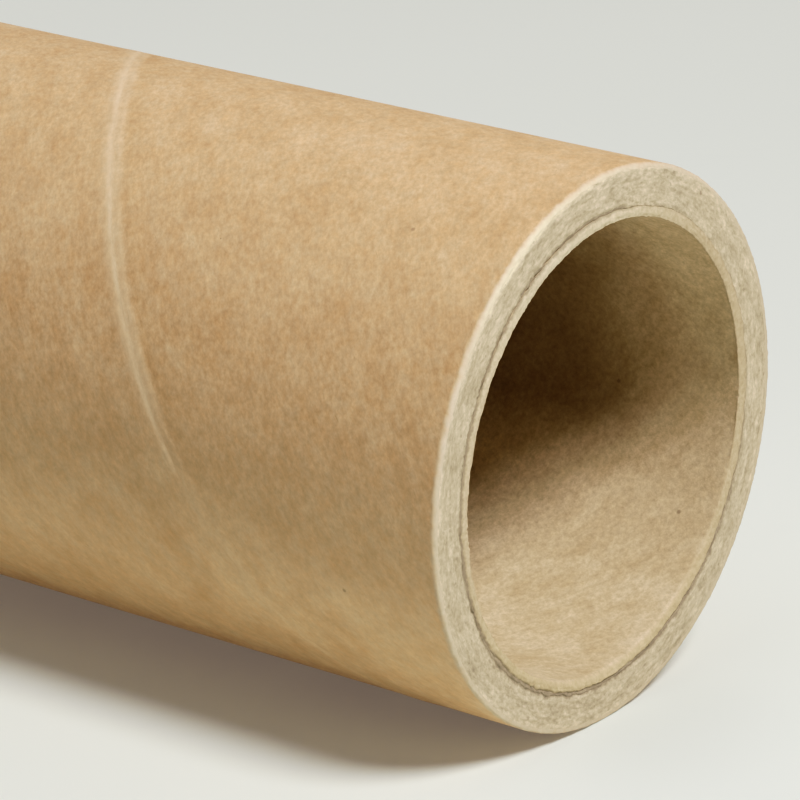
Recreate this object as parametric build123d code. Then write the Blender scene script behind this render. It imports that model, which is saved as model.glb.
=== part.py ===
# Heavy-walled, spiral-wound cardboard mailing tube with open, square-cut ends.
# Modelled lying on its side: the tube's axis runs along X, +Z is up, and the
# origin is on the ground, under the middle of the tube.
# The wall is one bonded laminate in three concentric layers:
#   inner_liner  the innermost ply, whose cut edge stands off the wall by a fine gap
#   board_wall   the grey chipboard plies, wound and glued into one thickness
#   kraft_wrap   the brown outer ply that covers the tube
import os
from build123d import *

# ---- driving dimensions, millimetres ----
length = 330.0          # over the two cut ends
bore_d = 50.0           # clear inside diameter
liner_t = 1.3           # innermost ply
board_t = 3.9           # chipboard plies together
wrap_t = 0.6            # outer kraft ply with its glue line
ply_gap_w = 0.25        # gap that has opened at the cut edge, beside the innermost ply
ply_gap_depth = 1.2     # how far that gap runs into the wall
edge_break = 0.12       # softened outer corner of each saw cut

# ---- derived ----
bore_r = bore_d / 2
liner_r = bore_r + liner_t
board_r = liner_r + board_t
outer_r = board_r + wrap_t
axis_z = outer_r        # the lowest line of the tube touches the ground


def ring(r_in, r_out):
    """A plain tube layer along X, centred on the frame's YZ plane."""
    with BuildPart() as p:
        with BuildSketch(Plane.YZ.offset(-length / 2)):
            with Locations((0, axis_z)):
                Circle(r_out)
                Circle(r_in, mode=Mode.SUBTRACT)
        extrude(amount=length)
    return p.part


def end_relief(x0, x1, r_in, r_out):
    """An annular volume between two stations on the axis."""
    with BuildPart() as p:
        with BuildSketch(Plane.YZ.offset(min(x0, x1))):
            with Locations((0, axis_z)):
                Circle(r_out)
                Circle(r_in, mode=Mode.SUBTRACT)
        extrude(amount=abs(x1 - x0))
    return p.part


# innermost ply
inner_liner = ring(bore_r, liner_r)

# chipboard body, with the opened gap beside the innermost ply at both ends
board_wall = ring(liner_r, board_r)
for s in (-1, 1):
    board_wall = board_wall - end_relief(
        s * (length / 2 - ply_gap_depth), s * (length / 2 + 1.0),
        liner_r - 0.4, liner_r + ply_gap_w)

# outer ply, with the saw cut's outer corners just broken
kraft_wrap = ring(board_r, outer_r)
rim = [e for e in kraft_wrap.edges()
       if e.geom_type == GeomType.CIRCLE and abs(e.radius - outer_r) < 1e-6]
kraft_wrap = chamfer(rim, edge_break)

nodes = {
    "kraft_wrap": kraft_wrap,
    "board_wall": board_wall,
    "inner_liner": inner_liner,
}

os.makedirs("parts", exist_ok=True)
for name, shape in nodes.items():
    solid = shape.solids()[0] if len(shape.solids()) == 1 else shape
    solid.label = name
    export_step(solid, f"parts/{name}.step")
    print(name, "volume mm3", round(shape.volume, 1), "solids", len(shape.solids()))
print("outer diameter", round(2 * outer_r, 2), "wall", round(outer_r - bore_r, 2))
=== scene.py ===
import math

import bpy
import numpy as np
from mathutils import Matrix, Vector


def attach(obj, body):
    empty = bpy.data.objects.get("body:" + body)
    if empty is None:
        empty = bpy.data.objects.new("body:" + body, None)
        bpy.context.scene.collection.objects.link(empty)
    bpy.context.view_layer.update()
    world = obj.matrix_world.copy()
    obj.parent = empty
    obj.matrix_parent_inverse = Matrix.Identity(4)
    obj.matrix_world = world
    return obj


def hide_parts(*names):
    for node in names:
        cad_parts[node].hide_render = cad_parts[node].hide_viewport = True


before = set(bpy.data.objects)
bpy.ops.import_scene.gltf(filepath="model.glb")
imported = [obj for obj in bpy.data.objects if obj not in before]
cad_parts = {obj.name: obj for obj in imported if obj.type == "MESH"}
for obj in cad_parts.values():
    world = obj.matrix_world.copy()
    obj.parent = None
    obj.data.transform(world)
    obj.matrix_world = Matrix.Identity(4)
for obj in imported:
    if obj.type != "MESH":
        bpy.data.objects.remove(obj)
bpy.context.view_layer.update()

# Heavy-walled spiral-wound paper tube lying along X, square-cut ends.
# Sizes below are in millimetres and repeat the frame's; meshes are written in metres.
MM = 0.001
HALF = 165.0          # half length
R_OUT = 30.8          # outside of the kraft ply
R_BOARD = 30.2        # under the kraft ply
R_LINER = 26.3        # outside of the innermost ply
R_BORE = 25.0         # clear bore
AXIS_Z = 30.8
TAU = 2 * math.pi

# the outer ply's helical seam: x = SEAM_X0 - SEAM_C * angle, angle 0 towards -Y, 90 deg on top
SEAM_X0 = HALF - 1.10 * R_OUT
SEAM_C = 0.0112 * 180 / math.pi * R_OUT          # mm of x per radian
LEAD = SEAM_C * TAU                              # mm of x per turn
BETA = math.atan2(SEAM_C, R_OUT)                 # helix angle from the circumference
STRIP_W = LEAD * math.cos(BETA)                  # width of the wound strip

# the innermost ply is wound with the same lead, its butt joint starts elsewhere
INNER_PHASE = math.radians(-28.0)                # where that joint meets the near end
INNER_BETA = math.atan2(SEAM_C, R_BORE)
INNER_W = LEAD * math.cos(INNER_BETA)


# ------------------------------------------------------------------ smooth random fields
class Field:
    """Smooth random field over (angle, second axis), periodic in the angle, std 1."""

    def __init__(self, seed, n_a, n_b, per_a, per_b, size_a, size_b, ridged=0.0):
        rng = np.random.default_rng(seed)
        g = rng.standard_normal((n_a, n_b))
        fa = np.fft.fftfreq(n_a, per_a / n_a)[:, None]
        fb = np.fft.fftfreq(n_b, per_b / n_b)[None, :]
        k = np.exp(-((fa * size_a) ** 2 + (fb * size_b) ** 2) * 2.2)
        f = np.real(np.fft.ifft2(np.fft.fft2(g) * k))
        f = (f - f.mean()) / f.std()
        self.f, self.n_a, self.n_b, self.per_b = f, n_a, n_b, per_b

    def __call__(self, ang, b):
        u = (np.asarray(ang, float) / TAU * self.n_a) % self.n_a
        v = (np.asarray(b, float) / self.per_b * self.n_b) % self.n_b
        u, v = np.broadcast_arrays(u, v)
        i, j = np.floor(u).astype(int), np.floor(v).astype(int)
        fu, fv = u - i, v - j
        fu, fv = fu * fu * (3 - 2 * fu), fv * fv * (3 - 2 * fv)
        i0, i1, j0, j1 = i % self.n_a, (i + 1) % self.n_a, j % self.n_b, (j + 1) % self.n_b
        f = self.f
        return (f[i0, j0] * (1 - fu) * (1 - fv) + f[i1, j0] * fu * (1 - fv)
                + f[i0, j1] * (1 - fu) * fv + f[i1, j1] * fu * fv)


def smooth(a, b, v):
    t = np.clip((np.asarray(v, float) - a) / (b - a), 0, 1)
    return t * t * (3 - 2 * t)


def around(points, ang):
    """Periodic smooth interpolation of {degrees: value} at angles in radians."""
    d = sorted((k % 360, v) for k, v in points.items())
    k = np.array([d[-1][0] - 360] + [p[0] for p in d] + [d[0][0] + 360], float)
    v = np.array([d[-1][1]] + [p[1] for p in d] + [d[0][1]], float)
    a = np.degrees(np.asarray(ang, float)) % 360
    i = np.clip(np.searchsorted(k, a, side="right") - 1, 0, len(k) - 2)
    t = (a - k[i]) / (k[i + 1] - k[i])
    t = t * t * (3 - 2 * t)
    return v[i] * (1 - t) + v[i + 1] * t


# ------------------------------------------------------------------ mesh helper
def mesh_object(name, co_mm, faces, uvs, smooth_shade=True):
    """co_mm: n x 3 in millimetres; faces: lists of vertex indices; uvs: {layer: per-loop list of (u, v)}."""
    me = bpy.data.meshes.new(name)
    me.from_pydata((np.asarray(co_mm, float) * MM).tolist(), [], faces)
    for layer, values in uvs.items():
        uv = me.uv_layers.new(name=layer)
        uv.data.foreach_set("uv", np.asarray(values, np.float32).ravel())
    if smooth_shade:
        me.polygons.foreach_set("use_smooth", np.ones(len(me.polygons), bool))
    me.update()
    me.validate()
    ob = bpy.data.objects.new(name, me)
    bpy.context.scene.collection.objects.link(ob)
    return ob


def place(ang, r, x):
    """Angle 0 is towards -Y, 90 degrees is up."""
    return np.stack([x, -r * np.cos(ang), AXIS_Z + r * np.sin(ang)], -1)


class TubeSkin:
    """A closed thin-walled skin whose rows are parallel to the seam's helix away from the ends.

    Each column is one closed profile: rows at the far end, helical rows, rows at the near end, and rows on the other side of the wall.
    """

    def __init__(self, columns, x0, offsets, limit):
        self.n = columns
        self.ang = np.arange(columns) / columns * TAU
        self.x0, self.off, self.limit = x0, np.asarray(offsets, float), limit
        self.m = len(offsets)

    def helical_rows(self, j):
        """[(id, x)] of the helical rows inside the limits in column j, x ascending."""
        base = self.x0 - SEAM_C * self.ang[j]
        k0 = int(math.floor((-self.limit - base) / LEAD)) - 1
        k1 = int(math.ceil((self.limit - base) / LEAD)) + 1
        out = []
        for k in range(k0, k1 + 1):
            for i, a in enumerate(self.off):
                x = base + k * LEAD + a
                if -self.limit + 0.05 < x < self.limit - 0.05:
                    out.append((k * self.m + i, x))
        return out

    def build(self, name, far_rows, near_rows, back_rows, surface, back, beta, radius, back_first_uv):
        """far_rows / near_rows / back_rows: profile stations handled by the callables surface and back.

        surface(kind, values, ang) gives (r, x) arrays for a row of the end zones ('far' or 'near') or the helical zone ('mid').
        """
        n = self.n
        cols, verts, meta = [], [], []
        for j in range(n):
            a = self.ang[j]
            ids = []
            for s in far_rows:
                ids.append(("f", s))
            hel = self.helical_rows(j)
            col = {"far": [], "mid": {}, "near": [], "back": []}
            for s in far_rows:
                col["far"].append(len(verts)); verts.append((a, "far", s));
            for g, x in hel:
                col["mid"][g] = len(verts); verts.append((a, "mid", x))
            for s in near_rows:
                col["near"].append(len(verts)); verts.append((a, "near", s))
            for s in back_rows:
                col["back"].append(len(verts)); verts.append((a, "back", s))
            cols.append(col)
        ang = np.array([v[0] for v in verts])
        kind = np.array([{"far": 0, "mid": 1, "near": 2, "back": 3}[v[1]] for v in verts])
        val = np.array([v[2] for v in verts], float)
        r = np.zeros(len(verts)); x = np.zeros(len(verts)); dev = np.zeros(len(verts))
        for k in range(4):
            m = kind == k
            r[m], x[m], dev[m] = (surface if k < 3 else back)(("far", "mid", "near", "back")[k], val[m], ang[m])
        co = place(ang, r, x)
        faces, strip, bake = [], [], []
        cb, sb = math.cos(beta), math.sin(beta)

        def add(poly, turn):
            """poly: [(vertex, column index possibly n)], turn: seam index k of the strip that the face belongs to."""
            faces.append([p[0] for p in poly])
            for vi, jj in poly:
                aa = jj / n * TAU
                u = (aa - TAU * turn) * radius
                xx = dev[vi]
                strip.append((u * cb - (xx - self.x0) * sb, u * sb + (xx - self.x0) * cb))
                if kind[vi] == 3:
                    bake.append((jj / n, back_first_uv + 0.02 * (xx + HALF) / (2 * HALF)))
                else:
                    bake.append((jj / n, 0.005 + 0.955 * (xx + HALF + 3) / (2 * HALF + 6)))

        def turn_at(xx, jj):
            base = self.x0 - SEAM_C * (jj / n * TAU)
            return math.floor((xx - base) / LEAD + 1e-9)

        for j in range(n):
            A, B = cols[j], cols[(j + 1) % n]
            jb = j + 1
            shift = self.m if j == n - 1 else 0
            midB = {g + shift: v for g, v in B["mid"].items()} if shift else B["mid"]
            midA = A["mid"]
            lo, hi = max(min(midA), min(midB)), min(max(midA), max(midB))
            for g in range(lo, hi):
                add([(midA[g], j), (midA[g + 1], j), (midB[g + 1], jb), (midB[g], jb)], math.floor(g / self.m))
            # between the last helical rows and the straight rows of each end
            top = [(midA[g], j) for g in range(hi, max(midA) + 1)] + [(A["near"][0], j), (B["near"][0], jb)]
            top += [(midB[g], jb) for g in range(max(midB), hi - 1, -1)]
            add(top, math.floor(hi / self.m))
            bot = [(midB[g], jb) for g in range(lo, min(midB) - 1, -1)] + [(B["far"][-1], jb), (A["far"][-1], j)]
            bot += [(midA[g], j) for g in range(min(midA), lo + 1)]
            add(bot, math.floor((lo - 1) / self.m))
            tn, tf = turn_at(self.limit, j + 0.5), turn_at(-self.limit, j + 0.5)
            for q in range(len(near_rows) - 1):
                add([(A["near"][q], j), (A["near"][q + 1], j), (B["near"][q + 1], jb), (B["near"][q], jb)], tn)
            for q in range(len(far_rows) - 1):
                add([(A["far"][q], j), (A["far"][q + 1], j), (B["far"][q + 1], jb), (B["far"][q], jb)], tf)
            chainA = [A["near"][-1]] + A["back"] + [A["far"][0]]
            chainB = [B["near"][-1]] + B["back"] + [B["far"][0]]
            for q in range(len(chainA) - 1):
                add([(chainA[q], j), (chainA[q + 1], j), (chainB[q + 1], jb), (chainB[q], jb)], 0)
        return co, faces, {"OFBake": bake, "strip": strip}, ang, r, x


# ------------------------------------------------------------------ the kraft ply
def seam_height(q):
    """Relief of the lapped seam, q in mm of x from the seam line, positive towards the near end."""
    h = 0.058 * smooth(-3.4, -0.75, q)
    h = h - 0.046 * smooth(-0.62, -0.02, q)
    h = h + 0.016 * smooth(0.15, 0.75, q)
    h = h - 0.032 * smooth(0.85, 1.45, q)
    h = h + 0.004 * smooth(1.7, 2.6, q)
    return h


def seam_q(ang, x):
    """Distance along x to the nearest turn of the seam."""
    base = SEAM_X0 - SEAM_C * ang
    return (x - base + LEAD / 2) % LEAD - LEAD / 2


undulate = Field(3, 256, 64, TAU * R_OUT, 2 * HALF, 34, 60)
rim_soft = Field(5, 1024, 16, TAU * R_OUT, 8, 2.6, 8)
rim_fine = Field(6, 2048, 64, TAU * R_OUT, 8, 0.55, 0.5)
seam_wob = Field(7, 1024, 128, TAU * R_OUT, 2 * HALF, 3.0, 3.0)
seam_amp = Field(8, 256, 64, TAU * R_OUT, 2 * HALF, 14, 14)


def kraft_relief(ang, x):
    q = seam_q(ang, x) + 0.10 * seam_wob(ang, x + HALF)
    amp = 0.85 + 0.18 * seam_amp(ang, x + HALF)
    return seam_height(q) * np.clip(amp, 0.3, 1.2) + 0.018 * undulate(ang, x + HALF) - 0.05


CORNER = 0.50         # how far back along the tube the crushed outer corner of each cut reaches
ROUND = R_OUT - R_BOARD - 0.03    # and how far in
WORN = {120: 0.8, 100: 1.0, 90: 1.0, 40: 1.0, 20: 0.95, 0: 0.85, -20: 0.72, -40: 0.6, -60: 0.45, -90: 0.33, -130: 0.25, 180: 0.25, 150: 0.4}
# profile stations of one end: distance behind the end plane while on the outside, then angle round the corner, then share of the way across the ply's cut
END_STATIONS = [1.9, 1.5, 1.2, 0.98, 0.82, 0.68]
ARC = [0.0, 18.0, 36.0, 54.0, 72.0, 90.0]
CUT_T = [0.5, 0.95, 1.0]


def kraft_surface(which, v, ang):
    if which == "mid":
        return R_OUT + kraft_relief(ang, v), v, v
    sign = 1 if which == "near" else -1
    worn = around(WORN, ang)
    corner = np.clip(CORNER * worn * (1 + 0.14 * rim_soft(ang, 1.0 if sign > 0 else 5.0)), 0.10, 0.62)
    rnd = ROUND * worn
    r = np.zeros_like(v); x = np.zeros_like(v); dev = np.zeros_like(v)
    out = v < 10
    s = v
    r[out] = R_OUT + kraft_relief(ang[out], sign * (HALF - s[out]))
    x[out] = HALF - s[out]
    dev[out] = HALF - s[out]
    arc = (v >= 10) & (v < 200)
    t = np.radians(v[arc] - 10)
    c = corner[arc]
    lift = kraft_relief(ang[arc], sign * (HALF - 0.2) + 0 * t)
    fuzz = 0.020 * rim_fine(ang[arc], 2 + v[arc] / 60)
    r[arc] = R_OUT + lift * np.cos(t) - rnd[arc] * (1 - np.cos(t)) + fuzz * np.cos(t)
    x[arc] = HALF - c * (1 - np.sin(t)) + fuzz * np.sin(t)
    dev[arc] = HALF - 0.4 + 0.65 * t / (math.pi / 2)
    cut = v >= 200
    t = v[cut] - 200
    rr = (R_OUT - rnd[cut]) * (1 - t) + R_BOARD * t
    f2 = 0.022 * rim_fine(ang[cut], 5 + rr * 2) * (1 - t ** 3)
    r[cut] = rr
    x[cut] = HALF + f2
    dev[cut] = HALF + 0.3 + (R_OUT - rr)
    return r, sign * x, sign * dev


def kraft_back(which, v, ang):
    return np.full_like(v, R_BOARD), v, v


near_rows = END_STATIONS + [10 + a for a in ARC] + [200 + c for c in CUT_T]
far_rows = near_rows[::-1]
seam_offsets = list(np.concatenate([
    np.array([-3.6, -3.0, -2.5, -2.05, -1.65, -1.3, -1.0, -0.75, -0.55, -0.38, -0.22, -0.05, 0.15, 0.4, 0.65, 0.85, 1.02, 1.2, 1.4, 1.7, 2.1, 2.7]),
    np.array([12.0, 32.0, 55.0, 78.0, 100.0, 112.0]),
]))
# the seam line itself is a row of the grid, so that the strip coordinate breaks exactly on it
seam_offsets = sorted(((o % LEAD) for o in [0.0] + [o for o in seam_offsets if abs(o + 0.05) > 1e-9]))

skin = TubeSkin(880, SEAM_X0, seam_offsets, HALF - 2.3)
co, faces, uvs, *_ = skin.build(
    "kraft", far_rows, near_rows, [HALF - 6, 0.0, -HALF + 6], kraft_surface, kraft_back, BETA, R_OUT, 0.972)
kraft = mesh_object("kraft_ply", co, faces, uvs)


# ------------------------------------------------------------------ the ply gap beside the innermost ply
GAP_R = {100: 26.15, 88: 26.28, 80: 26.38, 60: 26.42, 40: 26.45, 20: 26.3, 0: 26.12, -20: 26.1, -40: 26.3, -60: 26.36, -80: 26.5,
         -100: 26.36, -115: 26.48, -130: 26.6, -160: 26.62, 180: 26.42, 160: 26.4, 140: 26.15, 120: 26.15}
GAP_W = {0: .12, 10: .12, 20: .17, 33: .12, 45: .25, 55: .30, 65: .25, 81: .32, 93: .36, 99: .20, 111: .28, 123: .20, 129: .12,
         135: .03, 141: .04, 150: .20, 159: .08, 165: .05, 171: .12, 177: .05, 189: .15, 195: .12, 201: .08, 210: .15, 225: .20,
         237: .25, 243: .14, 249: .25, 255: .30, 261: .18, 267: .22, 273: .36, 285: .30, 291: .30, 297: .20, 303: .28, 309: .16,
         315: .28, 321: .28, 327: .15, 333: .10, 345: .10}
gap_n = Field(11, 1024, 16, TAU * R_LINER, 8, 1.1, 8)
gap_w = Field(12, 1024, 16, TAU * R_LINER, 8, 0.8, 8)
gap_f = Field(13, 256, 16, TAU * R_LINER, 8, 18, 8)
gap_s = Field(14, 4096, 16, TAU * R_LINER, 8, 0.30, 8)
GAP_DEPTH = 0.28


def loose(ang, sign):
    """1 where the innermost ply has come loose from the board at the cut, towards 0 where it is still glued down."""
    if sign < 0:
        return np.clip(0.6 + 0.35 * gap_f(ang, 3.0), 0.1, 1)
    return around({-150: 0.9, -130: 1, 60: 1, 82: 0.9, 98: 0.45, 112: 0.16, 160: 0.10, 185: 0.20}, ang)


def gap_depth(ang, sign):
    if sign < 0:
        return 0.5 + 0.1 * gap_f(ang, 4.0)
    return around({100: 0.6, 70: 1.0, 30: 1.0, 0: 0.75, -25: 0.55, -60: 0.36, -100: 0.36, -130: 0.8, 180: 0.4, 120: 0.35}, ang)


def gap(ang, sign):
    """(inner radius, outer radius) of the gap at an end's cut."""
    if sign > 0:
        c, w = around(GAP_R, ang), around(GAP_W, ang)
    else:
        c, w = R_LINER + 0.05 + 0.14 * gap_f(ang, 1.0), 0.17 + 0.11 * gap_f(ang, 5.0)
    c = c + 0.045 * gap_n(ang, 1.0 if sign > 0 else 5.0) + 0.022 * gap_s(ang, 1.0 if sign > 0 else 5.0)
    w = 0.12 + 0.85 * w * (1 + 0.45 * gap_w(ang, 1.0 if sign > 0 else 5.0)) + 0.05 * gap_s(ang, 3.0)
    w = np.clip(w * loose(ang, sign), 0.012, 0.50)
    return c - w / 2, c + w / 2


# ------------------------------------------------------------------ the chipboard wall
cut_fibre = Field(21, 4096, 128, TAU * 28.0, 8, 1.5, 0.22)
cut_grain = Field(22, 4096, 128, TAU * 28.0, 8, 0.36, 0.30)
cut_wave = Field(23, 512, 32, TAU * 28.0, 8, 7.0, 2.0)


def cut_relief(ang, r, sign):
    b = (r - 24.0) % 8 if sign > 0 else (r - 24.0 + 3.3) % 8
    a = ang if sign > 0 else ang + 1.7
    return 0.020 * cut_fibre(a, b) + 0.024 * cut_grain(a, b) + 0.012 * cut_wave(a, b)


def ring_object(name, columns, profile, bake_rows, smooth_shade=True):
    """Closed ring. profile(ang) -> list of (r, x) arrays, one per station, going round the section. bake_rows: v of each station."""
    ang = np.arange(columns) / columns * TAU
    st = profile(ang)
    m = len(st)
    co = np.zeros((columns, m, 3))
    rr = np.zeros((columns, m)); xx = np.zeros((columns, m))
    for i, (r, x) in enumerate(st):
        rr[:, i], xx[:, i] = r, x
        co[:, i] = place(ang, rr[:, i], xx[:, i])
    idx = np.arange(columns * m).reshape(columns, m)
    nxt = np.roll(idx, -1, axis=0)
    A, B = idx, nxt
    A2, B2 = np.roll(idx, -1, axis=1), np.roll(nxt, -1, axis=1)
    faces = np.stack([A, A2, B2, B], -1).reshape(-1, 4)
    j = np.repeat(np.arange(columns), m)
    i = np.tile(np.arange(m), columns)
    u0, u1 = j / columns, (j + 1) / columns
    v0 = np.asarray(bake_rows)[i]
    v1 = np.asarray(bake_rows)[i + 1] if len(bake_rows) == m + 1 else np.asarray(bake_rows)[(i + 1) % m]
    bake = np.stack([np.stack([u0, v0], -1), np.stack([u0, v1], -1), np.stack([u1, v1], -1), np.stack([u1, v0], -1)], 1)
    # developed coordinates in mm: along the circumference, and across (radius on the cuts)
    R0 = rr.mean()
    ua, ub = j / columns * TAU * 28.0, (j + 1) / columns * TAU * 28.0
    ra = rr[j, i]; rb = rr[j, (i + 1) % m]
    rc = rr[(j + 1) % columns, (i + 1) % m]; rd = rr[(j + 1) % columns, i]
    strip = np.stack([np.stack([ua, ra], -1), np.stack([ua, rb], -1), np.stack([ub, rc], -1), np.stack([ub, rd], -1)], 1)
    return mesh_object(name, co.reshape(-1, 3), faces.tolist(), {"OFBake": bake.reshape(-1, 2), "strip": strip.reshape(-1, 2)}, smooth_shade)


BOARD_T = [0.0, 0.004] + [q / 26 for q in range(1, 26)] + [0.994, 1.0]


def board_profile(ang):
    st = []
    for sign in (1, -1):
        g0, g1 = gap(ang, sign)
        face = []
        for t in BOARD_T:
            r = R_BOARD + (g1 - R_BOARD) * t
            edge = 0.13 * loose(ang, sign) * np.exp(-((r - g1) / 0.24) ** 2)      # the lip beside the gap is worn down a little
            held = 1 - np.exp(-((R_BOARD - r) / 0.16) ** 2)
            face.append((r, sign * (HALF + cut_relief(ang, r, sign) * held - edge)))
        # down the gap's outer wall, across its floor
        deep = []
        for d in (0.10, 0.19, GAP_DEPTH):
            k = d / GAP_DEPTH
            deep.append((g1 * (1 - k) + (g1 * 0.35 + g0 * 0.65) * k, sign * (HALF - d * gap_depth(ang, sign))))
        floor = [(g0 - 0.04, sign * (HALF - (GAP_DEPTH + 0.02) * gap_depth(ang, sign)))]
        if sign > 0:
            st += face + deep + floor
        else:
            st += floor[::-1] + deep[::-1] + face[::-1]
    # order: near face from the outside in, near gap, (bore side) far gap, far face from the inside out, closed by the outer wall
    return st


def board_v():
    near = list(0.02 + 0.40 * np.array(BOARD_T))
    near += [0.43, 0.445, 0.46, 0.47]
    far = [0.53, 0.54, 0.555, 0.57] + list(0.98 - 0.40 * np.array(BOARD_T[::-1]))
    return near + far + [1.0]


board = ring_object("board_wall_cut", 880, board_profile, board_v())


# ------------------------------------------------------------------ the innermost ply
ragged = Field(31, 4096, 64, TAU * R_BORE, 8, 0.30, 0.5)
ragged_l = Field(32, 1024, 64, TAU * R_BORE, 8, 2.2, 2.0)
bore_wave = Field(33, 256, 64, TAU * R_BORE, 2 * HALF, 26, 50)


def burrs(ang, sign):
    """Small torn fibres standing off the inner edge, mm."""
    rng = np.random.default_rng(41 if sign > 0 else 42)
    out = np.zeros_like(ang)
    spots = [(math.radians(v), w, h) for v, w, h in (((-8.0, 0.16, 0.26), (-6.2, 0.10, 0.16), (168.0, 0.14, 0.14)) if sign > 0 else ((75.0, 0.15, 0.2),))]
    for _ in range(16):
        spots.append((rng.uniform(0, TAU), rng.uniform(0.07, 0.16), rng.uniform(0.04, 0.12)))
    for a, w, h in spots:
        d = ((ang - a + math.pi) % TAU - math.pi) * R_BORE
        out += h * np.exp(-(d / w) ** 2)
    return out


def inner_q(ang, x):
    base = HALF - SEAM_C * (ang - INNER_PHASE)
    return (x - base + LEAD / 2) % LEAD - LEAD / 2


def bore_relief(ang, x):
    q = inner_q(ang, x)
    joint = 0.11 * np.exp(-(q / 0.42) ** 2)        # the butt joint is a fine groove, so the radius grows there
    return joint + 0.02 * bore_wave(ang, x + HALF)


LINER_ROWS_CUT = 11
LINER_S = [1.6, 1.2, 0.85, 0.6, 0.42, 0.28, 0.17, 0.09, 0.03]


def bevel(ang, sign):
    """How far the bore's edge is worn round, mm: sharp at the top, well rounded at the bottom."""
    if sign < 0:
        return 0.32 + 0.10 * ragged_l(ang, 3.0)
    low = np.exp(-((((np.degrees(ang) + 98 + 180) % 360) - 180) / 46.0) ** 2)
    return np.clip(0.13 + 0.62 * low + 0.03 * ragged_l(ang, 3.0), 0.08, 0.8)


def worn_round(b, s):
    """Growth of the radius at the distance s behind the cut for an edge worn to the radius b."""
    k = np.clip(b - s, 0, b)
    return b - np.sqrt(np.maximum(b * b - k * k, 0))


def liner_surface(which, v, ang):
    if which == "mid":
        return R_BORE + bore_relief(ang, v), v, v
    sign = 1 if which == "near" else -1
    g0, _ = gap(ang, sign)
    rag = 0.036 * ragged(ang, 2.0 if sign > 0 else 6.0) + 0.035 * ragged_l(ang, 2.0 if sign > 0 else 6.0)
    bur = burrs(ang, sign)
    bev = bevel(ang, sign)
    r = np.zeros_like(v); x = np.zeros_like(v); dev = np.zeros_like(v)
    out = v < 10
    s = v[out]
    near_edge = np.exp(-(s / 0.28) ** 2)
    r[out] = R_BORE + bore_relief(ang[out], sign * (HALF - s)) - (rag[out] + 0.7 * bur[out]) * near_edge + worn_round(bev[out], s)
    x[out] = HALF - s
    dev[out] = HALF - s
    cut = v >= 10
    t = v[cut] - 10                     # 0 at the bore edge, 1 at the gap
    a = ang[cut]
    r0 = R_BORE - rag[cut] - 0.7 * bur[cut] + bev[cut]
    rr = r0 * (1 - t) + g0[cut] * t
    proud = 0.03 * np.sin(np.pi * np.clip(t * 1.15, 0, 1)) ** 0.6
    lip = -0.05 * np.exp(-(t / 0.12) ** 2) * (bev[cut] < 0.3) - 0.12 * loose(a, sign) * np.exp(-((1 - t) / 0.20) ** 2)
    r[cut] = rr
    x[cut] = HALF + cut_relief(a, rr, sign) * 0.9 + proud + lip + 0.25 * bur[cut] * np.exp(-(t / 0.2) ** 2)
    dev[cut] = HALF + 0.1 + t * 1.3
    return r, sign * x, sign * dev


def liner_back(which, v, ang):
    """Outside of the innermost ply: free beside the gap, glued further in."""
    sign = np.where(v > 0, 1, -1)
    depth = HALF - np.abs(v)
    gn, _ = gap(ang, 1)
    gf, _ = gap(ang, -1)
    g0 = np.where(sign > 0, gn, gf)
    k = np.clip(depth / GAP_DEPTH, 0, 1)
    return g0 * (1 - k) + R_LINER * k, v, v


liner_near = LINER_S + [10 + q / (LINER_ROWS_CUT - 1) for q in range(LINER_ROWS_CUT)]
liner_far = liner_near[::-1]
inner_offsets = sorted(o % LEAD for o in [-1.4, -0.8, -0.5, -0.25, 0.0, 0.25, 0.5, 0.8, 1.4, 14.0, 38.0, 62.0, 86.0, 110.0])
bore_skin = TubeSkin(1060, HALF + SEAM_C * INNER_PHASE, inner_offsets, HALF - 2.0)
co, faces, uvs, *_ = bore_skin.build(
    "liner", liner_far, liner_near,
    [HALF - 0.14, HALF - 0.20, HALF - GAP_DEPTH, 0.0, -HALF + GAP_DEPTH, -HALF + 0.20, -HALF + 0.14],
    liner_surface, liner_back, INNER_BETA, R_BORE, 0.972)
faces = [f[::-1] for f in faces]
for k in uvs:
    out, p = [], 0
    for f in faces:
        out += uvs[k][p:p + len(f)][::-1]
        p += len(f)
    uvs[k] = out
liner = mesh_object("inner_ply", co, faces, uvs)


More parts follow.
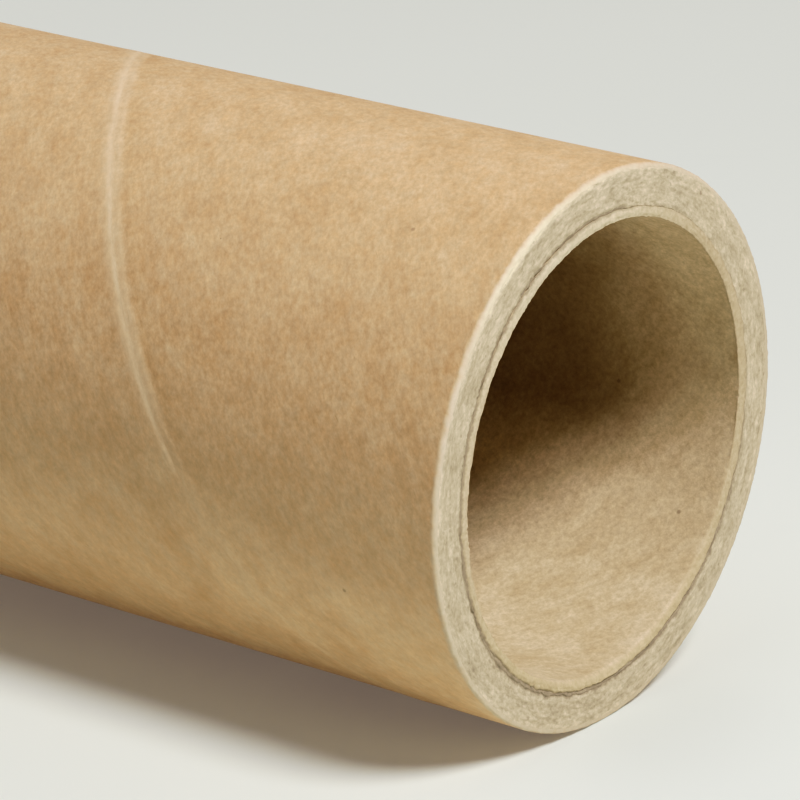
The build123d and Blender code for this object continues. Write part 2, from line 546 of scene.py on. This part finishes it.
# ------------------------------------------------------------------ materials
class Mat:
    def __init__(self, name):
        self.m = bpy.data.materials.new(name)
        self.m.use_nodes = True
        self.t = self.m.node_tree
        self.t.nodes.clear()
        self.out = self.n("ShaderNodeOutputMaterial")
        self.bsdf = self.n("ShaderNodeBsdfPrincipled")
        self.t.links.new(self.bsdf.outputs[0], self.out.inputs["Surface"])

    def n(self, kind, **kw):
        node = self.t.nodes.new(kind)
        for k, v in kw.items():
            setattr(node, k, v)
        return node

    def link(self, a, b):
        self.t.links.new(a, b)

    def put(self, sock, value):
        if isinstance(value, bpy.types.NodeSocket):
            self.link(value, sock)
        else:
            sock.default_value = value

    def math(self, op, a, b=None, c=None, clamp=False):
        node = self.n("ShaderNodeMath", operation=op, use_clamp=clamp)
        self.put(node.inputs[0], a)
        if b is not None:
            self.put(node.inputs[1], b)
        if c is not None:
            self.put(node.inputs[2], c)
        return node.outputs[0]

    def vec(self, x, y=0.0, z=0.0):
        node = self.n("ShaderNodeCombineXYZ")
        self.put(node.inputs[0], x); self.put(node.inputs[1], y); self.put(node.inputs[2], z)
        return node.outputs[0]

    def vmul(self, v, s):
        node = self.n("ShaderNodeVectorMath", operation="MULTIPLY")
        self.put(node.inputs[0], v)
        node.inputs[1].default_value = s
        return node.outputs[0]

    def noise(self, v, scale, detail=4.0, rough=0.55, dist=0.0, dims="3D", kind="FBM"):
        node = self.n("ShaderNodeTexNoise", noise_dimensions=dims)
        node.noise_type = kind
        node.normalize = True
        self.put(node.inputs["Vector"], v)
        node.inputs["Scale"].default_value = scale
        node.inputs["Detail"].default_value = detail
        node.inputs["Roughness"].default_value = rough
        node.inputs["Distortion"].default_value = dist
        return node.outputs["Fac"]

    def maprange(self, v, a, b, c, d, clamp=True, kind="LINEAR"):
        node = self.n("ShaderNodeMapRange", interpolation_type=kind, clamp=clamp)
        self.put(node.inputs[0], v)
        for i, k in enumerate((a, b, c, d)):
            node.inputs[i + 1].default_value = k
        return node.outputs[0]

    def ramp(self, v, stops, kind="LINEAR"):
        node = self.n("ShaderNodeValToRGB")
        r = node.color_ramp
        r.interpolation = kind
        while len(r.elements) < len(stops):
            r.elements.new(0.5)
        for e, (p, c) in zip(r.elements, sorted(stops)):
            e.position = p
            e.color = (c, c, c, 1) if isinstance(c, float) else (*c, 1)
        self.put(node.inputs[0], v)
        return node.outputs[0]

    def mix(self, f, a, b, blend="MIX"):
        node = self.n("ShaderNodeMix", data_type="RGBA", blend_type=blend)
        node.clamp_factor = True
        self.put(node.inputs[0], f)
        ins = [i for i in node.inputs if i.type == "RGBA"]
        for s, v in zip(ins, (a, b)):
            self.put(s, (*v, 1) if isinstance(v, tuple) and len(v) == 3 else v)
        return [o for o in node.outputs if o.type == "RGBA"][0]

    def scale_rgb(self, colour, fac, gains):
        """colour * (1 + (fac) * gains), gains per channel."""
        node = self.n("ShaderNodeVectorMath", operation="MULTIPLY_ADD")
        f = self.n("ShaderNodeCombineXYZ")
        for i in range(3):
            self.link(fac, f.inputs[i]) if isinstance(fac, bpy.types.NodeSocket) else None
        self.link(f.outputs[0], node.inputs[0])
        node.inputs[1].default_value = gains
        node.inputs[2].default_value = (1, 1, 1)
        mul = self.n("ShaderNodeVectorMath", operation="MULTIPLY")
        self.put(mul.inputs[0], colour if isinstance(colour, bpy.types.NodeSocket) else tuple(colour))
        self.link(node.outputs[0], mul.inputs[1])
        return mul.outputs[0]

    def flecks(self, obj, colour, spots, dark):
        """Single dark flecks at given places of the object."""
        for place_, size in spots:
            d = self.n("ShaderNodeVectorMath", operation="DISTANCE")
            self.put(d.inputs[0], obj)
            d.inputs[1].default_value = place_
            f = self.maprange(d.outputs["Value"], size * 0.5, size * 1.3, 0.55, 0.0, kind="SMOOTHSTEP")
            colour = self.mix(f, colour, dark)
        return colour

    def turn(self, obj):
        """Angle round the tube as 0 to 1: 0.5 towards -Y, 0.75 on top."""
        pos = self.n("ShaderNodeSeparateXYZ")
        self.link(obj, pos.inputs[0])
        ang = self.math("ARCTAN2", self.math("SUBTRACT", pos.outputs[2], AXIS_Z * MM), self.math("MULTIPLY", pos.outputs[1], -1.0))
        return self.math("MULTIPLY_ADD", ang, 1 / TAU, 0.5)

    def bump(self, height, strength, distance, normal=None):
        node = self.n("ShaderNodeBump")
        node.inputs["Strength"].default_value = strength
        node.inputs["Distance"].default_value = distance
        self.link(height, node.inputs["Height"])
        if normal is not None:
            self.link(normal, node.inputs["Normal"])
        return node.outputs[0]


KRAFT = (0.690, 0.462, 0.252)
CUT = (0.545, 0.452, 0.306)
LINER = (0.614, 0.490, 0.309)
# bare fibre of the outer ply's cut and of the board's worn outer edge, round the tube from -180 to 180 degrees; lighter
# from about 20 to 110 degrees, most at 60, where the key lamp falls on the corner: a painted highlight
RIM_FIBRE_AND_HIGHLIGHT = [(0.0, (0.565, 0.465, 0.315)), (0.333, (0.605, 0.498, 0.338)), (0.50, (0.635, 0.525, 0.360)), (0.556, (0.680, 0.565, 0.395)),
        (0.611, (0.775, 0.655, 0.445)), (0.667, (0.850, 0.735, 0.495)), (0.722, (0.790, 0.665, 0.445)), (0.806, (0.660, 0.550, 0.380)),
        (0.917, (0.575, 0.475, 0.325)), (1.0, (0.565, 0.465, 0.315))]
# the innermost ply's cut, round the tube likewise
INNER_EDGE = [(0.0, (0.510, 0.405, 0.255)), (0.07, (0.545, 0.428, 0.268)), (0.139, (0.545, 0.425, 0.258)), (0.25, (0.570, 0.452, 0.275)),
              (0.36, (0.552, 0.436, 0.262)), (0.50, (0.582, 0.465, 0.302)), (0.611, (0.605, 0.500, 0.330)), (0.68, (0.640, 0.545, 0.368)),
              (0.74, (0.630, 0.530, 0.352)), (0.80, (0.570, 0.465, 0.302)), (0.861, (0.510, 0.402, 0.254)), (1.0, (0.510, 0.405, 0.255))]
GROOVE = (0.300, 0.245, 0.162)    # darker colour at the ply gap's walls and the lips beside it
OPEN = [(0.0, 0.15), (0.06, 0.5), (0.11, 0.9), (0.30, 0.85), (0.66, 0.85), (0.73, 0.75), (0.77, 0.45), (0.81, 0.16), (0.95, 0.10), (1.0, 0.15)]

KRAFT_FINE = (0.64, 0.80, 0.93)
KRAFT_BROAD = (0.47, 0.67, 0.90)
KRAFT_BLUSH = (0.22, 0.0, -0.22)


def kraft_material():
    m = Mat("kraft_paper")
    uv = m.n("ShaderNodeUVMap", uv_map="strip").outputs[0]         # mm along and across the wound strip
    sep = m.n("ShaderNodeSeparateXYZ")
    m.link(uv, sep.inputs[0])
    obj = m.n("ShaderNodeTexCoord").outputs["Object"]              # metres
    pos = m.n("ShaderNodeSeparateXYZ")
    m.link(obj, pos.inputs[0])
    # mottling of the sheet, drawn out along the wound strip
    flow = m.vmul(uv, (0.70, 1.0, 1.0))
    fine = m.noise(flow, 1.45, 2.0, 0.80)
    broad = m.noise(flow, 0.15, 2.6, 0.95)
    blush = m.noise(m.vmul(uv, (0.8, 1.0, 1.0)), 0.50, 3.0, 0.85)
    cloud = m.noise(uv, 0.035, 3.0, 0.5)
    turn = m.turn(obj)
    calm = m.ramp(turn, [(0.0, 0.8), (0.12, 0.55), (0.45, 0.55), (0.56, 1.0), (0.9, 1.0), (1.0, 0.8)])      # the underside is smoother
    f = m.math("MULTIPLY", m.math("SUBTRACT", fine, 0.5), calm)
    b = m.math("SUBTRACT", broad, 0.5)
    c = m.math("SUBTRACT", cloud, 0.5)
    col = m.scale_rgb(KRAFT, f, KRAFT_FINE)
    col = m.scale_rgb(col, b, KRAFT_BROAD)
    col = m.scale_rgb(col, m.math("SUBTRACT", blush, 0.5), KRAFT_BLUSH)
    col = m.scale_rgb(col, c, (0.06, 0.08, 0.12))
    # dark fibres and specks of the sheet
    fib = m.noise(m.vmul(uv, (0.35, 1.6, 1.0)), 2.2, 3.0, 0.6, 0.6)
    fib = m.maprange(fib, 0.66, 0.76, 0.0, 1.0)
    col = m.mix(m.math("MULTIPLY", fib, 0.35), col, (0.36, 0.21, 0.085))
    vor = m.n("ShaderNodeTexVoronoi", feature="F1")
    m.put(vor.inputs["Vector"], uv)
    vor.inputs["Scale"].default_value = 0.09
    rnd = m.n("ShaderNodeSeparateColor")
    m.link(vor.outputs["Color"], rnd.inputs[0])
    size = m.maprange(rnd.outputs[0], 0.72, 1.0, 0.0, 0.026)
    speck = m.math("LESS_THAN", vor.outputs["Distance"], size)
    col = m.mix(m.math("MULTIPLY", speck, 0.55), col, (0.20, 0.115, 0.05))
    # the paler band of the lapped seam, measured along x from the seam line: partly scuffed, paler fibre, partly a
    # painted highlight where the seam's ridge catches the key lamp
    wob = m.math("MULTIPLY", m.math("SUBTRACT", m.noise(obj, 330.0, 3.0, 0.6), 0.5), 0.55)
    q = m.math("DIVIDE", m.math("WRAP", sep.outputs[1], STRIP_W / 2, -STRIP_W / 2), math.cos(BETA))
    q = m.math("ADD", q, wob)
    qq = m.math("MULTIPLY_ADD", q, 1 / 8.0, 0.5)
    prof = m.ramp(qq, [(0.22, 0.0), (0.28, 0.10), (0.33, 0.30), (0.385, 0.52), (0.4375, 0.88), (0.469, 1.0), (0.53, 0.66),
                       (0.5625, 0.54), (0.61, 0.52), (0.66, 0.24), (0.70, 0.0)])
    streak = m.noise(m.vec(m.math("MULTIPLY", sep.outputs[0], 0.35), q, 0.0), 1.5, 4.0, 0.65)
    streak = m.maprange(streak, 0.3, 0.7, 0.70, 1.20)
    # how strong the pale seam is: along the turn nearest the near end its painted highlight fades out low on the side,
    # where the key lamp's light falls off; elsewhere it comes and goes at random
    seam_highlight_by_turn = m.ramp(turn, [(0.0, 0.30), (0.38, 0.12), (0.44, 0.24), (0.50, 0.32), (0.515, 0.42), (0.530, 0.66), (0.55, 0.80), (0.61, 0.74), (0.66, 0.66),
                          (0.76, 0.66), (0.90, 0.45), (1.0, 0.30)])
    worn = m.noise(obj, 22.0, 2.0, 0.5)
    worn = m.maprange(worn, 0.36, 0.64, 0.18, 0.72)
    near = m.maprange(pos.outputs[0], 0.050, 0.062, 0.0, 1.0)
    worn = m.math("ADD", m.math("MULTIPLY", near, seam_highlight_by_turn), m.math("MULTIPLY", m.math("SUBTRACT", 1.0, near), worn))
    seam = m.math("MULTIPLY", m.math("MULTIPLY", prof, streak), worn)
    # pale fibre of the seam together with its painted highlight
    col = m.mix(m.math("MULTIPLY", seam, 0.66, clamp=True), col, (0.93, 0.755, 0.500))
    # a slightly darker strip beside the seam, on its near-end side
    dark = m.math("MULTIPLY", m.maprange(q, 1.55, 2.0, 0.0, 1.0), m.maprange(q, 2.2, 4.5, 1.0, 0.0))
    col = m.scale_rgb(col, m.math("MULTIPLY", dark, worn), (-0.05, -0.07, -0.11))
    col = m.flecks(obj, col, (((0.15154, -0.01643, 0.05685), 0.00026), ((0.15236, -0.02928, 0.02124), 0.00024)), (0.24, 0.15, 0.08))
    # the cut edge and the crushed corner are bare, paler fibre; their colour round the tube also holds a painted
    # highlight, lightest on the upper side towards -Y
    ax = m.math("ABSOLUTE", pos.outputs[0])
    edge_n = m.math("MULTIPLY", m.math("SUBTRACT", m.noise(obj, 900.0, 3.0, 0.6), 0.5), 0.0006)
    edge = m.maprange(m.math("ADD", ax, edge_n), 0.16430, 0.16507, 0.0, 1.0, kind="SMOOTHSTEP")
    rim_grain = m.noise(obj, 1500.0, 4.0, 0.6)
    rim_col = m.scale_rgb(m.ramp(turn, RIM_FIBRE_AND_HIGHLIGHT), m.math("SUBTRACT", rim_grain, 0.5), (0.30, 0.34, 0.45))
    col = m.mix(edge, col, rim_col)
    m.link(col, m.bsdf.inputs["Base Color"])
    rough = m.maprange(m.math("ADD", f, m.math("MULTIPLY", edge, 0.5)), -0.3, 0.6, 0.50, 0.75)
    m.link(rough, m.bsdf.inputs["Roughness"])
    m.bsdf.inputs["Specular IOR Level"].default_value = 0.35
    m.bsdf.inputs["Sheen Weight"].default_value = 0.0
    # fibre bump
    fb = m.noise(m.vmul(uv, (0.6, 1.3, 1.0)), 3.2, 4.0, 0.6)
    nb = m.bump(fb, 0.5, 0.00003)
    nb = m.bump(broad, 0.5, 0.00010, nb)
    m.link(nb, m.bsdf.inputs["Normal"])
    return m.m


BOARD_FIBRE = (1.40, 1.40, 1.48)
BOARD_GRAIN = (0.85, 0.85, 0.85)


def board_material():
    m = Mat("chipboard")
    uv = m.n("ShaderNodeUVMap", uv_map="strip").outputs[0]     # mm round the circumference, and radius
    fibre = m.noise(m.vmul(uv, (0.55, 1.25, 1.0)), 0.42, 3.4, 0.92, 0.2)
    grain = m.noise(m.vmul(uv, (0.8, 1.2, 1.0)), 1.7, 2.0, 0.75)
    blot = m.noise(m.vmul(uv, (0.6, 1.0, 1.0)), 0.25, 2.0, 0.5)
    f = m.math("SUBTRACT", fibre, 0.5)
    g = m.math("SUBTRACT", grain, 0.5)
    b = m.math("SUBTRACT", blot, 0.5)
    rad = m.n("ShaderNodeSeparateXYZ")
    m.link(uv, rad.inputs[0])
    obj = m.n("ShaderNodeTexCoord").outputs["Object"]
    frayed = m.math("MULTIPLY", m.math("SUBTRACT", m.noise(obj, 700.0, 3.0, 0.6), 0.5), 0.9)
    # the board's worn outer edge takes the rim colour, with the same painted highlight on the upper side
    outer = m.maprange(m.math("ADD", rad.outputs[1], frayed), 29.62, 30.34, 0.0, 1.0, kind="SMOOTHSTEP")
    col = m.mix(outer, CUT, m.ramp(m.turn(obj), RIM_FIBRE_AND_HIGHLIGHT))
    # the walls of the ply gap and the lips beside it are darker, most round the part of the tube where the near end's
    # inner ply has come loose; the bake map runs across the cut
    lip = m.n("ShaderNodeSeparateXYZ")
    m.link(m.n("ShaderNodeUVMap", uv_map="OFBake").outputs[0], lip.inputs[0])
    away = m.math("MULTIPLY", m.math("SUBTRACT", m.math("ABSOLUTE", m.math("SUBTRACT", lip.outputs[1], 0.5)), 0.08), 3.75 / 0.40)
    away = m.math("ADD", away, m.math("MULTIPLY", m.math("SUBTRACT", m.noise(obj, 1300.0, 3.0, 0.65), 0.5), 0.8))
    lip_dark = m.maprange(away, 0.0, 0.45, 1.0, 0.0, kind="SMOOTHSTEP")
    col = m.mix(m.math("MULTIPLY", lip_dark, m.ramp(m.turn(obj), OPEN)), col, GROOVE)
    col = m.scale_rgb(col, f, BOARD_FIBRE)
    col = m.scale_rgb(col, g, BOARD_GRAIN)
    col = m.scale_rgb(col, b, (0.14, 0.12, 0.10))
    vor = m.n("ShaderNodeTexVoronoi", feature="F1")
    m.put(vor.inputs["Vector"], uv)
    vor.inputs["Scale"].default_value = 1.15
    rnd = m.n("ShaderNodeSeparateColor")
    m.link(vor.outputs["Color"], rnd.inputs[0])
    size = m.maprange(rnd.outputs[0], 0.45, 1.0, 0.0, 0.26)
    speck = m.maprange(m.math("SUBTRACT", vor.outputs["Distance"], size), -0.06, 0.02, 1.0, 0.0)
    col = m.mix(m.math("MULTIPLY", speck, 0.34), col, (0.22, 0.18, 0.125))
    col = m.flecks(obj, col, (((0.1650, 0.01653, 0.05503), 0.00028),), (0.20, 0.15, 0.10))
    m.link(col, m.bsdf.inputs["Base Color"])
    m.bsdf.inputs["Roughness"].default_value = 0.9
    m.link(m.maprange(grain, 0.3, 0.7, 0.82, 0.96), m.bsdf.inputs["Roughness"])
    m.bsdf.inputs["Specular IOR Level"].default_value = 0.2
    nb = m.bump(grain, 0.6, 0.00008)
    nb = m.bump(fibre, 0.5, 0.00008, nb)
    m.link(nb, m.bsdf.inputs["Normal"])
    return m.m


LINER_FINE = (0.90, 0.93, 0.98)
LINER_BROAD = (0.66, 0.78, 1.00)


def liner_material():
    m = Mat("liner_paper")
    uv = m.n("ShaderNodeUVMap", uv_map="strip").outputs[0]
    sep = m.n("ShaderNodeSeparateXYZ")
    m.link(uv, sep.inputs[0])
    obj = m.n("ShaderNodeTexCoord").outputs["Object"]
    fine = m.noise(uv, 1.35, 2.4, 0.80)
    broad = m.noise(m.vmul(uv, (0.75, 1.0, 1.0)), 0.16, 2.6, 0.92)
    f = m.math("SUBTRACT", fine, 0.5)
    b = m.math("SUBTRACT", broad, 0.5)
    col = m.scale_rgb(LINER, f, LINER_FINE)
    col = m.scale_rgb(col, b, LINER_BROAD)
    vor = m.n("ShaderNodeTexVoronoi", feature="F1")
    m.put(vor.inputs["Vector"], uv)
    vor.inputs["Scale"].default_value = 0.13
    rnd = m.n("ShaderNodeSeparateColor")
    m.link(vor.outputs["Color"], rnd.inputs[0])
    size = m.maprange(rnd.outputs[0], 0.5, 1.0, 0.0, 0.035)
    speck = m.math("LESS_THAN", vor.outputs["Distance"], size)
    col = m.mix(m.math("MULTIPLY", speck, 0.5), col, (0.17, 0.12, 0.07))
    # butt joint of the innermost ply
    q = m.math("ABSOLUTE", m.math("WRAP", sep.outputs[1], INNER_W / 2, -INNER_W / 2))
    joint = m.maprange(q, 0.10, 0.45, 1.0, 0.0, kind="SMOOTHSTEP")
    col = m.mix(m.math("MULTIPLY", joint, 0.55), col, (0.22, 0.15, 0.08))
    # cut edge: pale bare fibre
    pos = m.n("ShaderNodeSeparateXYZ")
    m.link(obj, pos.inputs[0])
    ax = m.math("ABSOLUTE", pos.outputs[0])
    edge_n = m.math("MULTIPLY", m.math("SUBTRACT", m.noise(obj, 1100.0, 3.0, 0.6), 0.5), 0.0004)
    edge = m.maprange(m.math("ADD", ax, edge_n), 0.1646, 0.1649, 0.0, 1.0, kind="SMOOTHSTEP")
    grain = m.noise(obj, 1700.0, 5.0, 0.65)
    # at the bottom the worn edge keeps the sheet's own tan, at the top it is paler
    turn = m.turn(obj)
    rim_col = m.ramp(turn, INNER_EDGE)
    rim_col = m.scale_rgb(rim_col, m.math("SUBTRACT", grain, 0.5), (0.75, 0.80, 0.95))
    lip = m.n("ShaderNodeSeparateXYZ")
    m.link(m.n("ShaderNodeUVMap", uv_map="OFBake").outputs[0], lip.inputs[0])
    across = m.math("ABSOLUTE", m.math("SUBTRACT", m.math("MULTIPLY", m.math("SUBTRACT", lip.outputs[1], 0.005), (2 * HALF + 6) / 0.955), HALF + 3))
    away = m.math("SUBTRACT", HALF + 1.4, across)
    away = m.math("ADD", away, m.math("MULTIPLY", m.math("SUBTRACT", m.noise(obj, 1300.0, 3.0, 0.65), 0.5), 0.8))
    lip_dark = m.maprange(away, 0.0, 0.40, 1.0, 0.0, kind="SMOOTHSTEP")
    rim_col = m.mix(m.math("MULTIPLY", lip_dark, m.ramp(turn, OPEN)), rim_col, GROOVE)
    # painted shade: the bore wall on the +Y side, from above the axis to a little below it, is darkened from 3 mm to 23
    # mm behind each end, standing in for the shade deep in the tube
    deep = m.maprange(ax, 0.162, 0.142, 0.0, 1.0, kind="SMOOTHSTEP")
    up = m.ramp(turn, [(0.0, 1.0), (0.04, 0.95), (0.055, 0.60), (0.085, 0.0), (0.70, 0.0), (0.84, 1.0), (1.0, 1.0)])
    col = m.scale_rgb(col, m.math("MULTIPLY", deep, up), (-0.50, -0.54, -0.60))
    col = m.flecks(obj, col, (((0.16043, 0.0205, 0.01647), 0.00026), ((0.14919, 0.02487, 0.02812), 0.00026)), (0.16, 0.11, 0.07))
    col = m.mix(edge, col, rim_col)
    m.link(col, m.bsdf.inputs["Base Color"])
    m.link(m.maprange(fine, 0.3, 0.7, 0.72, 0.88), m.bsdf.inputs["Roughness"])
    m.bsdf.inputs["Specular IOR Level"].default_value = 0.25
    nb = m.bump(fine, 0.6, 0.00007)
    m.link(nb, m.bsdf.inputs["Normal"])
    return m.m


kraft.data.materials.append(kraft_material())
board.data.materials.append(board_material())
liner.data.materials.append(liner_material())

for piece, node, slot in ((kraft, "kraft_wrap", "kraft_paper"), (board, "board_wall", "chipboard"), (liner, "inner_liner", "liner_paper")):
    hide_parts(node)
    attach(piece, "root")


# ------------------------------------------------------------------ floor, light, camera
KEY_EL, KEY_AZ, KEY_D, KEY_SIZE = math.radians(57), math.radians(-6.8), 0.90, 0.30
key_dir = Vector((math.cos(KEY_EL) * math.cos(KEY_AZ), math.cos(KEY_EL) * math.sin(KEY_AZ), math.sin(KEY_EL)))
near_centre = Vector((0.165, 0.0, 0.0308))
far_centre = Vector((-0.165, 0.0, 0.0308))
BACKDROP = (0.620, 0.610, 0.570)


def floor_material():
    """Matt paper, evenly bright: a faint glow makes up for the key lamp's fall-off away from the tube's near end. Near
    the tube the glow is painted light: it fills the tube's shadow on the floor and lights the tube's underside.
    """
    m = Mat("studio_floor")
    obj = m.n("ShaderNodeTexCoord").outputs["Object"]
    n = m.noise(obj, 3.0, 3.0, 0.5)
    col = m.scale_rgb((0.770, 0.838, 0.748), m.math("SUBTRACT", n, 0.5), (0.02, 0.02, 0.02))
    m.bsdf.inputs["Roughness"].default_value = 0.9
    m.bsdf.inputs["Specular IOR Level"].default_value = 0.0
    foot = near_centre + key_dir * KEY_D
    d = m.n("ShaderNodeVectorMath", operation="DISTANCE")
    m.link(obj, d.inputs[0])
    d.inputs[1].default_value = (foot.x, foot.y, 0.0)
    far = m.math("DIVIDE", d.outputs["Value"], 3.0)
    # painted shade: the floor's colour is a few per cent darker in a ring 0.5 to 0.7 m from the point under the key
    # lamp
    floor_painted_shade = m.ramp(far, [(0.0, 1.0), (0.159, 1.0), (0.170, 0.955), (0.187, 0.945), (0.205, 0.965), (0.235, 1.0), (1.0, 1.0)])
    # painted soft shade on the floor beside the tube, wider on its lit +Y side
    p = m.n("ShaderNodeSeparateXYZ")
    m.link(obj, p.inputs[0])
    along = m.math("MULTIPLY", m.math("MAXIMUM", m.math("SUBTRACT", m.math("ABSOLUTE", p.outputs[0]), 0.161), 0.0), 2.5)
    side = m.math("MAXIMUM", p.outputs[1], m.math("MULTIPLY", p.outputs[1], -3.0))
    near = m.math("SQRT", m.math("ADD", m.math("POWER", along, 2.0), m.math("POWER", side, 2.0)))
    floor_painted_shade = m.math("MULTIPLY", floor_painted_shade, m.maprange(near, 0.004, 0.075, 0.86, 1.0, kind="SMOOTHSTEP"))
    lit = m.n("ShaderNodeVectorMath", operation="SCALE")
    m.link(col, lit.inputs[0])
    m.link(floor_painted_shade, lit.inputs["Scale"])
    m.link(lit.outputs[0], m.bsdf.inputs["Base Color"])
    # the floor's glow: faint and warm near the tube, where it lights the tube's shadow and underside like a fill lamp,
    # rising far off to keep the floor evenly bright
    glow = m.ramp(far,
                  [(0.0, 0.109), (0.185, 0.109), (0.22, 0.115), (0.255, 0.135), (0.29, 0.210), (0.333, 0.320), (0.40, 0.420),
                   (0.533, 0.520), (0.80, 0.600), (1.0, 0.620)])
    # less glow where the lamp behind the far end already lights the floor
    back = m.n("ShaderNodeVectorMath", operation="DISTANCE")
    m.link(obj, back.inputs[0])
    back.inputs[1].default_value = (far_centre.x - 0.62, 0.0, 0.0)
    glow = m.math("MULTIPLY", glow, m.maprange(back.outputs["Value"], 0.0, 0.62, 0.25, 1.0, kind="SMOOTHSTEP"))
    m.link(m.ramp(far, [(0.0, (1.0, 0.915, 0.885)), (0.26, (1.0, 0.915, 0.885)), (0.42, (1.0, 0.975, 0.915)), (1.0, (1.0, 0.984, 0.920))]),
           m.bsdf.inputs["Emission Color"])
    m.link(glow, m.bsdf.inputs["Emission Strength"])
    return m.m


fs = 40.0
floor = mesh_object("floor", np.array([[-fs, -fs, 0], [fs, -fs, 0], [fs, fs, 0], [-fs, fs, 0]]) / MM, [[0, 1, 2, 3]], {})
floor.data.materials.append(floor_material())

scene = bpy.context.scene
world = bpy.data.worlds.new("studio")
scene.world = world
world.use_nodes = True
wt = world.node_tree
bg = next(n for n in wt.nodes if n.type == "BACKGROUND")
bg.inputs["Color"].default_value = (0.40, 0.46, 1.0, 1)
bg.inputs["Strength"].default_value = 0.031
drop = wt.nodes.new("ShaderNodeBackground")          # what is seen above the horizon: a backdrop as bright as the floor
drop.inputs["Color"].default_value = (*BACKDROP, 1)
pick, path = wt.nodes.new("ShaderNodeMixShader"), wt.nodes.new("ShaderNodeLightPath")
wt.links.new(path.outputs["Is Camera Ray"], pick.inputs[0])
wt.links.new(bg.outputs[0], pick.inputs[1])
wt.links.new(drop.outputs[0], pick.inputs[2])
wt.links.new(pick.outputs[0], next(n for n in wt.nodes if n.type == "OUTPUT_WORLD").inputs["Surface"])


def softbox(name, place_, target, size, energy, colour):
    data = bpy.data.lights.new(name, "AREA")
    data.shape = "DISK"
    data.size, data.energy, data.color = size, energy, colour
    ob = bpy.data.objects.new(name, data)
    ob.location = place_
    ob.rotation_mode = "QUATERNION"
    ob.rotation_quaternion = (place_ - target).to_track_quat("Z", "Y")
    scene.collection.objects.link(ob)


softbox("key", near_centre + key_dir * KEY_D, near_centre, KEY_SIZE, 9.2, (1.0, 0.952, 0.980))
softbox("back", near_centre + Vector((-0.727, 0.867, 1.131)), Vector((0.0, 0.0, 0.03)), 0.8, 2.3, (1.0, 0.94, 0.90))
softbox("far", far_centre + Vector((-0.62, 0.0, 0.72)), far_centre, 0.60, 1.7, (1.0, 0.91, 0.80))

cam_data = bpy.data.cameras.new("camera")
cam_data.sensor_width = 36.0
cam_data.lens = 36.0 * 4815.5 / 800.0
cam_data.clip_start, cam_data.clip_end = 0.01, 100.0
cam = bpy.data.objects.new("camera", cam_data)
fwd = Vector((-0.5668, 0.7510, -0.3387)).normalized()
right = fwd.cross(Vector((0, 0, 1))).normalized()
up = right.cross(fwd).normalized()
rot = Matrix((right, up, -fwd)).transposed()
cam.matrix_world = Matrix.Translation((0.43359, -0.39233, 0.20740)) @ rot.to_4x4()
scene.collection.objects.link(cam)
scene.camera = cam

view = scene.view_settings
view.view_transform = "Standard"
view.look = "None"
view.exposure = 0.0
view.gamma = 1.0
# the gentle S-shaped response of a camera
view.use_curve_mapping = True
response = view.curve_mapping
response.use_clip = False
response.extend = "EXTRAPOLATED"
curve = response.curves[3]
TONE = [(0.0, 0.0), (0.025, 0.0065), (0.05, 0.0227), (0.10, 0.0689), (0.14, 0.1103), (0.19, 0.1691), (0.26, 0.2464), (0.34, 0.340),
        (0.50, 0.500), (0.65, 0.6168), (0.80, 0.7282), (1.0, 0.8513)]
while len(curve.points) < len(TONE):
    curve.points.new(0.5, 0.5)
for point, (px, py) in zip(curve.points, TONE):
    point.location = (px, py)
    point.handle_type = "AUTO"
response.update()
